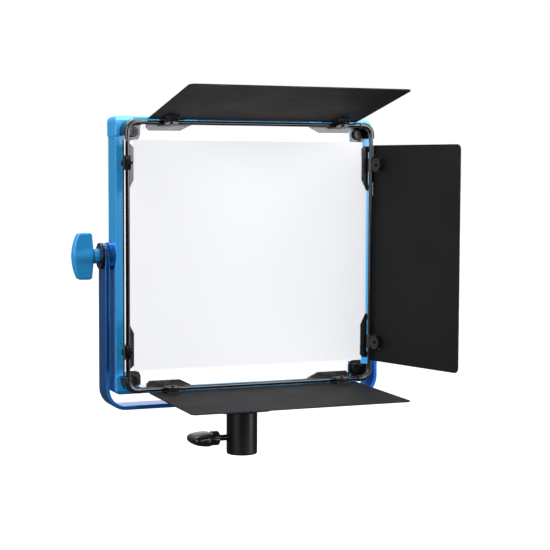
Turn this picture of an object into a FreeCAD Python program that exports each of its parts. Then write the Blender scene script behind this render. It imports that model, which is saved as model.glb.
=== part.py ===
"""LED panel light on a yoke, with four barn doors.

Millimetres. X runs to the right of someone facing the lit side, the light shines
towards -Y, and Z is up. The origin is the centre of the stand socket's mouth.
The head's own shapes are drawn about its tilt axis and then lifted to PIVOT_Z.
"""
import FreeCAD, Part
import math
import os

V = FreeCAD.Vector
X_AXIS, Y_AXIS, Z_AXIS = V(1, 0, 0), V(0, 1, 0), V(0, 0, 1)

# ---- stand socket, pad and yoke -------------------------------------------
SOCKET_R = 15.25
SOCKET_LENGTH = 42.0
SOCKET_BORE_R = 8.1            # takes a 16 mm (5/8 in) stand spigot
SOCKET_BORE_DEPTH = 36.0
PAD_SIZE = (59.0, 34.0, 9.6)   # rounded block between socket and yoke bar
BAR_THICK = 4.0                # the yoke is one flat bar, bent twice
BAR_WIDE = 24.0
BAR_EDGE_R = 0.7
BAR_DROP = 141.9               # tilt axis to the top of the yoke's bottom bar
YOKE_INNER_X = 137.8
YOKE_BEND_R = 16.0
PIVOT_Z = SOCKET_LENGTH + PAD_SIZE[2] + BAR_THICK + BAR_DROP
BAR_TOP_Z = PIVOT_Z - BAR_DROP
SOCKET_BOLT_R = 4.0

# ---- stand lock -------------------------------------------------------------
LOCK_Z = 16.8
LOCK_THREAD_R = 3.0
LOCK_PAD_TIP_X = -8.4          # just outside the bore until it is screwed in
LOCK_STEM_END_X = -24.5
LOCK_HUB_LENGTH = 9.0
LOCK_HUB_R = 7.5
LOCK_WING_LENGTH = 23.0

# ---- tilt pivots and their knobs ------------------------------------------
STUD_R = 4.0
RUNNING_GAP = 0.05
BOSS_R = 12.7
FRICTION_DISC_THICK = 1.0
KNOB_WASHER_THICK = 3.0
KNOB_STEM_R = 7.1
KNOB_STEM_LENGTH = 6.2
KNOB_HALF_SPAN = 22.0
KNOB_TIP_THICK = 14.5
KNOB_APEX_THICK = 19.6
KNOB_DEPTH = 11.0
KNOB_HUB_R = (8.4, 5.4)        # the hub swells out of the wings and narrows towards the apex

# ---- head -------------------------------------------------------------------
HEAD_HALF_X = 132.0            # outer faces of the side rails
HEAD_HALF_Z = 130.8            # outer faces of the top and bottom profiles
HEAD_HALF_Y = 12.8
PROFILE_WALL = 2.2
INNER_WALL = 1.4               # groove walls and ledges inside the profiles
LIP_X = 124.0                  # inner edge of the rails' front lip
LIP_Z = 125.0
LIP_THICK = 1.8
CAP_PROUD = 0.4
CAP_LEG = 18.5
CAP_CORNER_R = 5.5
CAP_BEVEL = 4.0                # along the front edge of the cap's end face
CAP_WEB_INNER = 109.5
COVER_THICK = 1.7
COVER_HALF = 127.4
BOARD_FRONT_Y = 2.0
BOARD_THICK = 1.6
BOARD_HALF = 123.3
BOARD_LEDGE_X = 119.5
LED_ROWS = 14
LED_PITCH = 15.6
BACK_PLATE_THICK = 2.0
PLATE_FLANGE = (121.0, 1.6)    # inner edge and thickness of the flange that the plate is screwed to
PLATE_SCREWS = [(124.6 * side, z) for side in (-1, 1) for z in (-100.0, -35.0, 35.0, 100.0)]
PLATE_SCREWS += [(x, 124.4 * side) for side in (-1, 1) for x in (-66.0, 66.0)]
SCREW_R = 1.5
SCREW_HOLE_R = 1.56
INSERT_FLANGE_R = 7.5
INSERT_FLANGE_THICK = 3.0
INSERT_R = 5.5

# ---- rear housing with the electronics ---------------------------------------
REAR_HALF_X = 85.0
REAR_Z = (-98.0, 86.0)
REAR_DEPTH = 27.0
REAR_WALL = 2.2
REAR_Y = HEAD_HALF_Y + REAR_DEPTH
DISPLAY_CENTRE = (-44.0, 48.0)
DISPLAY_SIZE = (52.0, 30.0)
DIAL_CENTRES = {"brightness_dial": (18.0, 48.0), "colour_dial": (56.0, 48.0)}
DIAL_R = 11.0
DIAL_LENGTH = 14.0
BUTTON_CENTRE = (37.0, 68.0)
BUTTON_R = 4.0
ROCKER_CENTRE = (58.0, 14.0)
INLET_CENTRE = (20.0, 14.0)
BATTERY_X = 37.0
BATTERY_Z = (-90.0, -6.0)
BATTERY_PLATE_HALF = 21.0
LATCH_TRAVEL = 2.5
LATCH_HALF = (5.0, 3.0)
LATCH_BELOW_TOP = 8.0          # catch centre below the battery plate's upper edge
HOUSING_SCREWS = [(x, z) for x in (-78.0, 78.0) for z in (REAR_Z[0] + 7, -1.0, REAR_Z[1] - 7)]
HOUSING_POST_R = 3.2
ROCKER_AXLE_R = 1.5
ROCKER_AXLE_Y = -1.5

# ---- barn-door frame ----------------------------------------------------------
ROD_R = 2.0
ROD_HALF = 125.0               # rod centre lines form a 250 mm square
ROD_Y = -28.0
ROD_BEND_R = 9.0
SHEET = 1.0                    # thickness of the frame's sheet-metal pieces
BRACKET_INNER = 108.5
BRACKET_ARM_END = 112.5
CORNER_SCREW = (116.0, 116.5)
CLIP_SPAN = (61.0, 105.0)      # filter clips, measured along the rod from its middle
CLIP_REACH = 7.4
CLIP_FRONT_Y = -23.1
FILTER_THICK = 1.0
FILTER_HALF_X = 123.4
FILTER_Z = (-107.0, 109.0)
FILTER_NOTCH = (6.0, 14.0)

# ---- doors ----------------------------------------------------------------------
DOOR_REACH = 121.0             # hinge axis to the free edge
DOOR_WIDE = 214.0
DOOR_CORNER_R = 5.0
DOOR_HEEL = 2.4                # how far the leaf's tongues run past the hinge axis
DOOR_HEEL_BY_CLIPS = 0.2       # the same beside the filter clips' feet
DOOR_TONGUES = ((-95.5, -70.5), (-57.5, 57.5), (70.5, 95.5))
STRAP_WIDE = 13.5
STRAP_CENTRE = 87.5
STRAP_LEG = 14.5
DOOR_SCREW_S = 9.9
THUMB_NUT_R = 6.7
THUMB_NUT_THICK = 4.0
# name: (which way the rod lies from the middle, opening from straight ahead, shift along the rod)
DOORS = {
    "top": (90.0, 12.5, -2.0),
    "bottom": (-90.0, 1.0, 3.0),
    "right": (0.0, 15.5, -1.0),
    "left": (180.0, 17.0, 0.0),
}


# ---- helpers ------------------------------------------------------------------
def box(x0, x1, y0, y1, z0, z1):
    return Part.makeBox(x1 - x0, y1 - y0, z1 - z0, V(x0, y0, z0))


def cylinder(centre, axis, radius, length):
    return Part.makeCylinder(radius, length, V(*centre), axis)


def tube(centre, axis, outer, inner, length):
    start = V(*centre) - axis * 0.5
    return cylinder(centre, axis, outer, length).cut(Part.makeCylinder(inner, length + 1, start, axis))


def fused(shapes):
    shapes = list(shapes)
    return shapes[0].fuse(shapes[1:]).removeSplitter() if len(shapes) > 1 else shapes[0]


def group(shapes):
    return Part.makeCompound(list(shapes))


def prism(points, direction, length):
    """Straight-sided solid: the closed outline moved along direction."""
    wire = Part.makePolygon([V(*p) for p in points] + [V(*points[0])])
    return Part.Face(wire).extrude(direction * length)


def rounded_plate(half_u, half_v, radius, thick):
    """Plate in the XZ plane, centred on the origin, from y=0 to y=thick."""
    plate = box(-half_u, half_u, 0, thick, -half_v, half_v)
    corners = [e for e in plate.Edges if abs(e.Vertexes[0].Y - e.Vertexes[-1].Y) > thick / 2]
    return plate.makeFillet(radius, corners)


def soften(solid, radius, keep=lambda edge: True):
    """Fillet the edges that keep() picks."""
    return solid.makeFillet(radius, [e for e in solid.Edges if keep(e)])


def mirrored(shape, normal):
    return shape.mirror(V(0, 0, 0), normal)


def turned(shape, axis, degrees, centre=V(0, 0, 0)):
    copy = shape.copy()
    copy.rotate(centre, axis, degrees)
    return copy


def shifted(shape, x=0.0, y=0.0, z=0.0):
    copy = shape.copy()
    copy.translate(V(x, y, z))
    return copy


def four_corners(shape):
    """One corner piece drawn at +X +Z, repeated at all four corners."""
    right = [shape, mirrored(shape, Z_AXIS)]
    return right + [mirrored(piece, X_AXIS) for piece in right]


def on_head(shape):
    return shifted(shape, z=PIVOT_Z)


# ---- stand socket, pad, yoke -----------------------------------------------------
def stand_socket():
    body = cylinder((0, 0, 0), Z_AXIS, SOCKET_R, SOCKET_LENGTH)
    body = soften(body, 1.2, lambda e: e.BoundBox.ZLength < 0.01)
    body = body.cut(cylinder((0, 0, -1), Z_AXIS, SOCKET_BORE_R, SOCKET_BORE_DEPTH + 1))
    body = body.cut(cylinder((0, 0, SOCKET_BORE_DEPTH - 1), Z_AXIS, SOCKET_BOLT_R, 10))
    return body.cut(cylinder((0, 0, LOCK_Z), V(-1, 0, 0), LOCK_THREAD_R + RUNNING_GAP, SOCKET_R + 2))


def yoke_pad():
    length, width, height = PAD_SIZE
    pad = box(-length / 2, length / 2, -width / 2, width / 2, 0, height)
    pad = soften(pad, 12.0, lambda e: e.BoundBox.ZLength > height / 2)
    pad = soften(pad, 2.5, lambda e: e.BoundBox.ZMax < 0.01)
    pad = pad.cut(cylinder((0, 0, -1), Z_AXIS, SOCKET_BOLT_R + 0.3, height + 2))
    return shifted(pad, z=SOCKET_LENGTH)


def lies_across(edge, level):
    """True for the bar's edges along Y at this height."""
    span = edge.BoundBox
    return span.YLength > BAR_WIDE / 2 and span.XLength < 0.01 and abs(span.ZMax - level) < 0.01


def yoke_bracket():
    """Flat bar bent into a U, with a round end at each pivot."""
    outer_x = YOKE_INNER_X + BAR_THICK
    low = -BAR_DROP - BAR_THICK
    half_wide = BAR_WIDE / 2
    outer = box(-outer_x, outer_x, -half_wide, half_wide, low, 0)
    inner = box(-YOKE_INNER_X, YOKE_INNER_X, -BAR_WIDE, BAR_WIDE, -BAR_DROP, 1)
    outer = soften(outer, YOKE_BEND_R + BAR_THICK, lambda e: lies_across(e, low))
    inner = soften(inner, YOKE_BEND_R, lambda e: lies_across(e, -BAR_DROP))
    ends = [cylinder((x, 0, 0), X_AXIS, half_wide, BAR_THICK) for x in (-outer_x, YOKE_INNER_X)]
    bar = fused([outer.cut(inner)] + ends)
    bar = soften(bar, BAR_EDGE_R, lambda e: e.BoundBox.YLength < 0.01 or e.BoundBox.ZMin > -0.01)
    bar = bar.cut(cylinder((-outer_x - 1, 0, 0), X_AXIS, STUD_R + 0.25, 2 * outer_x + 2))
    bar = bar.cut(cylinder((0, 0, low - 1), Z_AXIS, SOCKET_BOLT_R + 0.3, BAR_THICK + 2))
    return on_head(bar)


def socket_bolt():
    """Hexagon-socket bolt through the yoke bar and the pad into the socket."""
    head_r, head_height, hex_half, hex_depth = 7.0, 4.2, 2.9, 2.6
    top = BAR_TOP_Z + head_height
    head = cylinder((0, 0, BAR_TOP_Z), Z_AXIS, head_r, head_height)
    head = soften(head, 0.5, lambda e: e.BoundBox.ZMin > top - 0.1)
    shank_end = SOCKET_BORE_DEPTH + 0.5
    shank = cylinder((0, 0, shank_end), Z_AXIS, SOCKET_BOLT_R, BAR_TOP_Z - shank_end + 0.5)
    corners = [(hex_half * math.cos(math.radians(60 * k)), hex_half * math.sin(math.radians(60 * k)), 0)
               for k in range(6)]
    recess = shifted(prism(corners, Z_AXIS, 4), z=top - hex_depth)
    return fused([head, shank]).cut(recess)


def lock_pad():
    return cylinder((LOCK_PAD_TIP_X - 2.4, 0, LOCK_Z), X_AXIS, LOCK_THREAD_R - 0.35, 2.4)


def lock_screw():
    start_x = LOCK_STEM_END_X - 5.0
    end_x = LOCK_PAD_TIP_X - 2.4
    return cylinder((start_x, 0, LOCK_Z), X_AXIS, LOCK_THREAD_R, end_x - start_x)


def lock_handle():
    """Black wing handle: round hub, then two flat wings lying fore and aft."""
    hub = cylinder((LOCK_STEM_END_X - LOCK_HUB_LENGTH, 0, 0), X_AXIS, LOCK_HUB_R, LOCK_HUB_LENGTH)
    hub = soften(hub, 1.5, lambda e: e.BoundBox.XLength < 0.01)
    root_x = LOCK_STEM_END_X - LOCK_HUB_LENGTH + 2.0
    tip_x = root_x - LOCK_WING_LENGTH
    side = [(root_x, -20, -7.6), (root_x, -20, 7.6), (tip_x, -20, 5.0), (tip_x, -20, -5.0)]
    front = [(root_x, -6.5, -9), (root_x - 7, -15, -9), (tip_x, -12.5, -9), (tip_x, 12.5, -9),
             (root_x - 7, 15, -9), (root_x, 6.5, -9)]
    wings = prism(side, Y_AXIS, 40).common(prism(front, Z_AXIS, 18))
    wings = soften(wings, 2.2)
    handle = fused([hub, wings])
    handle = shifted(handle, z=LOCK_Z)
    return handle.cut(lock_screw())


# ---- tilt pivots -------------------------------------------------------------------
def pivot_pair(make):
    """The same piece at both pivots, drawn for the right-hand side."""
    piece = on_head(make)
    return group([piece, mirrored(piece, X_AXIS)])


def pivot_bosses():
    length = YOKE_INNER_X - FRICTION_DISC_THICK - HEAD_HALF_X
    boss = tube((HEAD_HALF_X, 0, 0), X_AXIS, BOSS_R, STUD_R + 0.25, length)
    return pivot_pair(boss)


def pivot_inserts():
    """Threaded steel inserts held in the side rails."""
    wall_x = HEAD_HALF_X - PROFILE_WALL
    bore = STUD_R + RUNNING_GAP
    flange = tube((wall_x - INSERT_FLANGE_THICK, 0, 0), X_AXIS, INSERT_FLANGE_R, bore, INSERT_FLANGE_THICK)
    sleeve = tube((wall_x, 0, 0), X_AXIS, INSERT_R, bore, PROFILE_WALL)
    return pivot_pair(fused([flange, sleeve]))


def friction_discs():
    start = (YOKE_INNER_X - FRICTION_DISC_THICK, 0, 0)
    return pivot_pair(tube(start, X_AXIS, BOSS_R - 0.4, STUD_R + 0.25, FRICTION_DISC_THICK))


def knob_washers():
    washer = tube((YOKE_INNER_X + BAR_THICK, 0, 0), X_AXIS, BOSS_R - 0.2, STUD_R + 0.25, KNOB_WASHER_THICK)
    return pivot_pair(soften(washer, 0.6, lambda e: e.BoundBox.XLength < 0.01 and e.BoundBox.ZLength > 20))


def knob_stud():
    start = HEAD_HALF_X - PROFILE_WALL - INSERT_FLANGE_THICK
    end = YOKE_INNER_X + BAR_THICK + KNOB_WASHER_THICK + KNOB_STEM_LENGTH + 6.0
    return on_head(cylinder((start, 0, 0), X_AXIS, STUD_R, end - start))


def knob():
    """Two-winged knob: domed outer face, flat sides and a tapering round hub."""
    seat = YOKE_INNER_X + BAR_THICK + KNOB_WASHER_THICK
    back = seat + KNOB_STEM_LENGTH
    tip, apex = back + KNOB_TIP_THICK, back + KNOB_APEX_THICK
    span = KNOB_HALF_SPAN
    dome = Part.Arc(V(tip, 0, -span), V(apex, 0, 0), V(tip, 0, span)).toShape()
    under = [Part.LineSegment(V(tip, 0, span), V(back + 1.2, 0, span)).toShape(),
             Part.LineSegment(V(back + 1.2, 0, span), V(back, 0, 6)).toShape(),
             Part.LineSegment(V(back, 0, 6), V(back, 0, -6)).toShape(),
             Part.LineSegment(V(back, 0, -6), V(back + 1.2, 0, -span)).toShape(),
             Part.LineSegment(V(back + 1.2, 0, -span), V(tip, 0, -span)).toShape()]
    wings = Part.Face(Part.Wire([dome] + under)).extrude(V(0, KNOB_DEPTH, 0))
    wings = soften(shifted(wings, y=-KNOB_DEPTH / 2), 2.0)
    hub_length = KNOB_APEX_THICK - 2.0
    hub = Part.makeCone(KNOB_HUB_R[0], KNOB_HUB_R[1], hub_length, V(back, 0, 0), X_AXIS)
    stem = cylinder((seat, 0, 0), X_AXIS, KNOB_STEM_R, KNOB_STEM_LENGTH + 1)
    return on_head(fused([wings, hub, stem])).cut(knob_stud())


# ---- head frame ------------------------------------------------------------------
def screw_holes(places, y):
    """Cutters for the screws that come in from the back, from y backwards."""
    return [cylinder((x, y, z), Y_AXIS, SCREW_HOLE_R, 60) for x, z in places]


def side_rail():
    """Right rail: web, stepped front lip, groove for the cover, ledge for the board."""
    outer, wall = HEAD_HALF_X, PROFILE_WALL
    end = HEAD_HALF_Z - CAP_LEG
    front, back = -HEAD_HALF_Y, HEAD_HALF_Y
    height = 2 * end

    def strip(x0, x1, y0, y1):
        return box(x0, x1, y0, y1, -end, end)

    web = strip(outer - wall, outer, front, back)
    lip = strip(LIP_X, outer, front, front + LIP_THICK)
    face = fused([web, lip])
    face = soften(face, 1.7, lambda e: e.Length > height - 1 and abs(e.BoundBox.XMax - outer) < 0.01)
    recess = strip(LIP_X + 2.2, outer - 0.9, front - 1, front + 0.5)
    inside = outer - wall + 0.1
    groove_y, ledge_y = front + LIP_THICK + COVER_THICK, BOARD_FRONT_Y + BOARD_THICK
    groove_wall = strip(LIP_X + 1.5, inside, groove_y, groove_y + INNER_WALL)
    ledge = strip(BOARD_LEDGE_X, inside, ledge_y, ledge_y + INNER_WALL)
    flange_x, flange_thick = PLATE_FLANGE
    plate_front = back - BACK_PLATE_THICK
    flange = strip(flange_x, inside, plate_front - flange_thick, plate_front)
    rail = fused([face, groove_wall, ledge, flange]).cut(recess)
    insert_room = cylinder((flange_x - 3, 0, 0), X_AXIS, INSERT_FLANGE_R + 0.5, outer - wall - flange_x + 3)
    rail = rail.cut(insert_room).cut(cylinder((outer - wall - 1, 0, 0), X_AXIS, INSERT_R, wall + 2))
    return rail.cut(group(screw_holes(PLATE_SCREWS, 0)))


def edge_profile():
    """Top profile, the same idea as the rail, lying along X."""
    outer, wall = HEAD_HALF_Z, PROFILE_WALL - 0.2
    end = HEAD_HALF_X - CAP_LEG
    front, back = -HEAD_HALF_Y, HEAD_HALF_Y

    def strip(z0, z1, y0, y1):
        return box(-end, end, y0, y1, z0, z1)

    web = strip(outer - wall, outer, front, back)
    lip = strip(LIP_Z, outer, front, front + LIP_THICK)
    face = soften(fused([web, lip]), 1.6, lambda e: e.Length > end and abs(e.BoundBox.ZMax - outer) < 0.01)
    inside = outer - wall + 0.1
    groove_y, ledge_y = front + LIP_THICK + COVER_THICK, BOARD_FRONT_Y + BOARD_THICK
    groove_wall = strip(LIP_Z + 1.0, inside, groove_y, groove_y + INNER_WALL)
    ledge = strip(BOARD_LEDGE_X, inside, ledge_y, ledge_y + INNER_WALL)
    flange_z, flange_thick = PLATE_FLANGE
    plate_front = back - BACK_PLATE_THICK
    flange = strip(flange_z, inside, plate_front - flange_thick, plate_front)
    profile = fused([face, groove_wall, ledge, flange])
    return profile.cut(group(screw_holes(PLATE_SCREWS, 0)))


def corner_cap():
    """Moulded corner at +X +Z: two outer walls, a front web, a screw boss and two tenons."""
    out_x, out_z, out_y = HEAD_HALF_X + CAP_PROUD, HEAD_HALF_Z + CAP_PROUD, HEAD_HALF_Y + CAP_PROUD
    in_x, in_z = HEAD_HALF_X - PROFILE_WALL, HEAD_HALF_Z - PROFILE_WALL + 0.2
    end_x, end_z = HEAD_HALF_X - CAP_LEG, HEAD_HALF_Z - CAP_LEG
    def at_corner(edge):
        span = edge.BoundBox
        return span.YLength > out_y and span.XMin > out_x - 0.01 and span.ZMin > out_z - 0.01

    def front_side(edge):
        span = edge.BoundBox
        return span.YMax < 0.01 - out_y and span.XMax > out_x - 0.01 and span.ZMin < end_z + 0.01

    block = soften(box(end_x, out_x, -out_y, out_y, end_z, out_z), CAP_CORNER_R, at_corner)
    block = soften(block, 1.6, front_side)
    walls = block.cut(box(end_x - 1, in_x, -out_y - 1, out_y + 1, end_z - 1, in_z))
    web_back = -HEAD_HALF_Y + LIP_THICK - 0.05
    web = box(CAP_WEB_INNER, in_x + 0.1, -out_y, web_back, CAP_WEB_INNER, in_z + 0.1)
    web = web.cut(box(LIP_X - 0.1, in_x + 1, -out_y - 1, 0, CAP_WEB_INNER - 1, end_z))
    web = web.cut(box(CAP_WEB_INNER - 1, end_x, -out_y - 1, 0, LIP_Z - 0.1, in_z + 1))
    stiffener = box(end_x, in_x + 0.1, web_back - 0.5, web_back + 2.4, in_z - 3.0, in_z + 0.1)
    screw_x, screw_z = CORNER_SCREW
    boss = cylinder((screw_x, -out_y + 0.5, screw_z), Y_AXIS, 4.5, 9.0)
    tenon_y = (-HEAD_HALF_Y + LIP_THICK + COVER_THICK + 1.5, BOARD_FRONT_Y + BOARD_THICK - 0.1)
    side_tenon = box(BOARD_HALF + 0.3, in_x, tenon_y[0], tenon_y[1], end_z - 12, in_z)
    top_tenon = box(end_x - 12, in_x, tenon_y[0], tenon_y[1], BOARD_HALF + 0.3, in_z)
    cap = fused([walls, web, boss, side_tenon, top_tenon, stiffener])
    bevel = prism([(0, -out_y - 1, out_z - CAP_BEVEL - 1), (0, -out_y - 1, out_z + 1),
                   (0, -out_y + CAP_BEVEL + 1, out_z + 1)], X_AXIS, out_x + 1)
    return cap.cut(bevel).cut(cylinder((screw_x, -out_y - 1, screw_z), Y_AXIS, 2.0, 9.0))


def opal_cover():
    front = -HEAD_HALF_Y + LIP_THICK
    sheet = box(-COVER_HALF, COVER_HALF, front, front + COVER_THICK, -COVER_HALF, COVER_HALF)
    near, far = CAP_WEB_INNER + 0.5, COVER_HALF + 1
    corner = box(near, far, front - 1, front + 3, near, far)
    for notch in four_corners(corner):
        sheet = sheet.cut(notch)
    return on_head(sheet)


def reflector_liner():
    """White eight-sided wall between the board and the cover."""
    def octagon(half, chamfer, y):
        k = half - chamfer
        return [(half, y, k), (k, y, half), (-k, y, half), (-half, y, k),
                (-half, y, -k), (-k, y, -half), (k, y, -half), (half, y, -k)]
    front = -HEAD_HALF_Y + LIP_THICK + COVER_THICK + 0.05
    depth = BOARD_FRONT_Y - 0.05 - front
    outside = prism(octagon(119.0, 22.0, front), Y_AXIS, depth)
    inside = prism(octagon(118.0, 21.6, front - 1), Y_AXIS, depth + 2)
    return on_head(outside.cut(inside))


def led_board():
    back = BOARD_FRONT_Y + BOARD_THICK
    return on_head(box(-BOARD_HALF, BOARD_HALF, BOARD_FRONT_Y, back, -BOARD_HALF, BOARD_HALF))


def led_emitters():
    first = -LED_PITCH * (LED_ROWS - 1) / 2
    places = [first + LED_PITCH * k for k in range(LED_ROWS)]
    return on_head(group(box(x - 1.6, x + 1.6, BOARD_FRONT_Y - 0.8, BOARD_FRONT_Y, z - 1.4, z + 1.4)
                         for x in places for z in places))


def back_plate():
    """Heat-spreading rear sheet with two rows of vent slots."""
    half_x = HEAD_HALF_X - PROFILE_WALL - 0.1
    half_z = HEAD_HALF_Z - PROFILE_WALL
    back = HEAD_HALF_Y
    plate = box(-half_x, half_x, back - BACK_PLATE_THICK, back, -half_z, half_z)
    slot = rounded_plate(9.0, 1.5, 1.45, BACK_PLATE_THICK + 2)
    slots = [shifted(slot, x=x, y=back - BACK_PLATE_THICK - 1, z=z)
             for x in range(-88, 89, 22) for z in (-118, -110, 102, 110, 118)]
    return on_head(plate.cut(group(slots + screw_holes(PLATE_SCREWS, 0))))


# ---- rear housing and electronics ----------------------------------------------------
def rear_place(shape, centre, y=REAR_Y):
    """Put a piece drawn at the origin, with y=0 on the housing's back face."""
    return on_head(shifted(shape, x=centre[0], y=y, z=centre[1]))


def rear_block(inset, y0, y1):
    half_x = REAR_HALF_X - inset
    low, high = REAR_Z[0] + inset, REAR_Z[1] - inset
    block = box(-half_x, half_x, y0, y1, low, high)
    return soften(block, 9.0 - inset, lambda e: e.BoundBox.YLength > (y1 - y0) / 2)


def spring_seat(side):
    """Bridge inside the housing that a catch's spring stands on."""
    x, z = side * BATTERY_X, BATTERY_Z[1] - LATCH_BELOW_TOP
    outside = box(x - 8.0, x + 8.0, REAR_Y - 11.5, REAR_Y - REAR_WALL + 0.2, z - 3.0, z + 3.0)
    return outside.cut(box(x - 6.4, x + 6.4, REAR_Y - 9.8, REAR_Y, z - 4, z + 4))


def rear_housing():
    shell = rear_block(0.0, HEAD_HALF_Y, REAR_Y)
    shell = soften(shell, 2.0, lambda e: e.BoundBox.YMin > REAR_Y - 0.01)
    shell = shell.cut(rear_block(REAR_WALL, HEAD_HALF_Y - 1, REAR_Y - REAR_WALL))
    display_hole = rounded_plate(DISPLAY_SIZE[0] / 2, DISPLAY_SIZE[1] / 2, 2.5, 8)
    holes = [shifted(display_hole, x=DISPLAY_CENTRE[0], z=DISPLAY_CENTRE[1]),
             shifted(rounded_plate(10.6, 6.4, 1.0, 8), x=ROCKER_CENTRE[0], z=ROCKER_CENTRE[1]),
             cylinder((INLET_CENTRE[0], 0, INLET_CENTRE[1]), Y_AXIS, 6.0, 8),
             cylinder((BUTTON_CENTRE[0], 0, BUTTON_CENTRE[1]), Y_AXIS, BUTTON_R + 0.2, 8)]
    holes += [cylinder((x, 0, z), Y_AXIS, 3.4, 8) for x, z in DIAL_CENTRES.values()]
    catch_z = BATTERY_Z[1] - LATCH_BELOW_TOP
    half_x, half_z = (half + 0.25 for half in LATCH_HALF)
    catch_hole = box(-half_x, half_x, 0, 8, -half_z, half_z)
    holes += [shifted(catch_hole, x=side * BATTERY_X, z=catch_z) for side in (-1, 1)]
    holes += [cylinder((x, 0, z), Y_AXIS, SCREW_HOLE_R, 8) for x, z in HOUSING_SCREWS]
    shell = shell.cut(shifted(group(holes), y=REAR_Y - 5))
    seats = [spring_seat(side) for side in (-1, 1)]
    vents = [box(x - 1.2, x + 1.2, HEAD_HALF_Y + 6, REAR_Y - 6, level - 4, level + 4)
             for x in range(-60, 61, 8) for level in REAR_Z]
    return on_head(fused([shell.cut(group(vents))] + seats))


def driver_board():
    """Power board on four posts behind the battery plates."""
    board = box(-72, 72, 20.0, 21.6, -84, -10)
    post_length = 20.0 - HEAD_HALF_Y
    posts = [cylinder((x, HEAD_HALF_Y, z), Y_AXIS, 3.0, post_length) for x in (-66, 66) for z in (-78, -16)]
    return on_head(group([board] + posts))


def driver_parts():
    """Smoothing capacitors, inductors and power transistors on the power board."""
    top = 21.6
    capacitors = [cylinder((x, top, -70), Y_AXIS, 5.0, 11.0) for x in (-56, -42, -28)]
    coils = [tube((x, top, -30), Y_AXIS, 8.0, 3.2, 7.0) for x in (-50, -26)]
    chips = [box(x - 5, x + 5, top, top + 4.5, -47, -38) for x in (0, 16, 32, 48)]
    return on_head(group(capacitors + coils + chips))


def control_board():
    """Board behind the controls, with the two rotary controls' bodies on it."""
    board = box(-74, 74, 24.0, 25.6, 4, 80)
    bodies = [box(x - 6, x + 6, 25.6, 33.0, z - 6, z + 6) for x, z in DIAL_CENTRES.values()]
    bodies = [body.cut(cylinder((x, 27, z), Y_AXIS, 3.0 + RUNNING_GAP, 10))
              for body, (x, z) in zip(bodies, DIAL_CENTRES.values())]
    button_x, button_z = BUTTON_CENTRE
    switch = box(button_x - 3, button_x + 3, 25.6, 32.0, button_z - 3, button_z + 3)
    clearance = rounded_plate(11.5, 7.2, 1.0, 20)
    board = board.cut(shifted(clearance, x=ROCKER_CENTRE[0], y=15, z=ROCKER_CENTRE[1]))
    board = board.cut(cylinder((INLET_CENTRE[0], 15, INLET_CENTRE[1]), Y_AXIS, 6.2, 20))
    return on_head(group([board, switch] + bodies))


def display_window():
    pane = rounded_plate(DISPLAY_SIZE[0] / 2 - 0.1, DISPLAY_SIZE[1] / 2 - 0.1, 2.4, REAR_WALL - 0.4)
    return rear_place(pane, DISPLAY_CENTRE, REAR_Y - REAR_WALL)


def display_module():
    module = rounded_plate(DISPLAY_SIZE[0] / 2 + 3, DISPLAY_SIZE[1] / 2 + 3, 1.5, 6.0)
    return rear_place(module, DISPLAY_CENTRE, REAR_Y - REAR_WALL - 6.2)


def dial():
    """Fluted dial with a pointer line, on a 6 mm shaft."""
    body = cylinder((0, 0.6, 0), Y_AXIS, DIAL_R, DIAL_LENGTH)
    body = soften(body, 1.2, lambda e: e.BoundBox.YLength < 0.01 and e.BoundBox.YMin > DIAL_LENGTH)
    flutes = [cylinder(((DIAL_R + 0.7) * math.cos(math.radians(15 * k)), 3.2,
                        (DIAL_R + 0.7) * math.sin(math.radians(15 * k))), Y_AXIS, 1.2, DIAL_LENGTH)
              for k in range(24)]
    body = body.cut(group(flutes))
    body = body.cut(box(-0.5, 0.5, DIAL_LENGTH + 0.2, DIAL_LENGTH + 2, 2.5, DIAL_R - 2.0))
    shaft = cylinder((0, -12.0, 0), Y_AXIS, 3.0, 14.0)
    return fused([body, shaft])


def mode_button():
    button = soften(cylinder((0, -5.6, 0), Y_AXIS, BUTTON_R, 7.6), 0.5,
                    lambda e: e.BoundBox.YMin > 1.9 and e.BoundBox.YLength < 0.01)
    return rear_place(button, BUTTON_CENTRE)


def switch_body():
    """Snap-in case of the power switch."""
    case = rounded_plate(10.5, 6.3, 0.9, 12.0)
    rim = shifted(rounded_plate(12.0, 7.8, 1.6, 1.4), y=12.0)
    case = fused([case, rim])
    case = case.cut(box(-9.5, 9.5, 2.0, 20, -5.0, 5.0))
    case = case.cut(cylinder((0, 12.0 + ROCKER_AXLE_Y, -7), Z_AXIS, ROCKER_AXLE_R + RUNNING_GAP, 14))
    return rear_place(case, ROCKER_CENTRE, REAR_Y - 12.0)


def power_rocker():
    """Rocker with two sloping halves, on an axle along Z."""
    outline = [(-8.2, -3.0), (-8.2, 3.2), (0, 1.6), (8.2, 2.0), (8.2, -1.0), (2.0, -6.0), (-2.0, -6.0)]
    rocker = prism([(x, y, -4.8) for x, y in outline], Z_AXIS, 9.6)
    axle = cylinder((0, ROCKER_AXLE_Y, -6.1), Z_AXIS, ROCKER_AXLE_R, 12.2)
    return rear_place(fused([rocker, axle]), ROCKER_CENTRE)


def dc_inlet():
    """Round power inlet: threaded barrel, centre pin and retaining nut."""
    barrel = tube((0, -9.0, 0), Y_AXIS, 5.5, 2.85, 11.0)
    floor = cylinder((0, -10.5, 0), Y_AXIS, 5.5, 1.6)
    flange = tube((0, 0, 0), Y_AXIS, 7.2, 5.4, 1.4)
    pin = cylinder((0, -9.5, 0), Y_AXIS, 1.0, 8.5)
    nut = tube((0, -REAR_WALL - 2.0, 0), Y_AXIS, 7.0, 5.45, 2.0)
    return rear_place(fused([barrel, floor, flange, pin, nut]), INLET_CENTRE)


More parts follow.
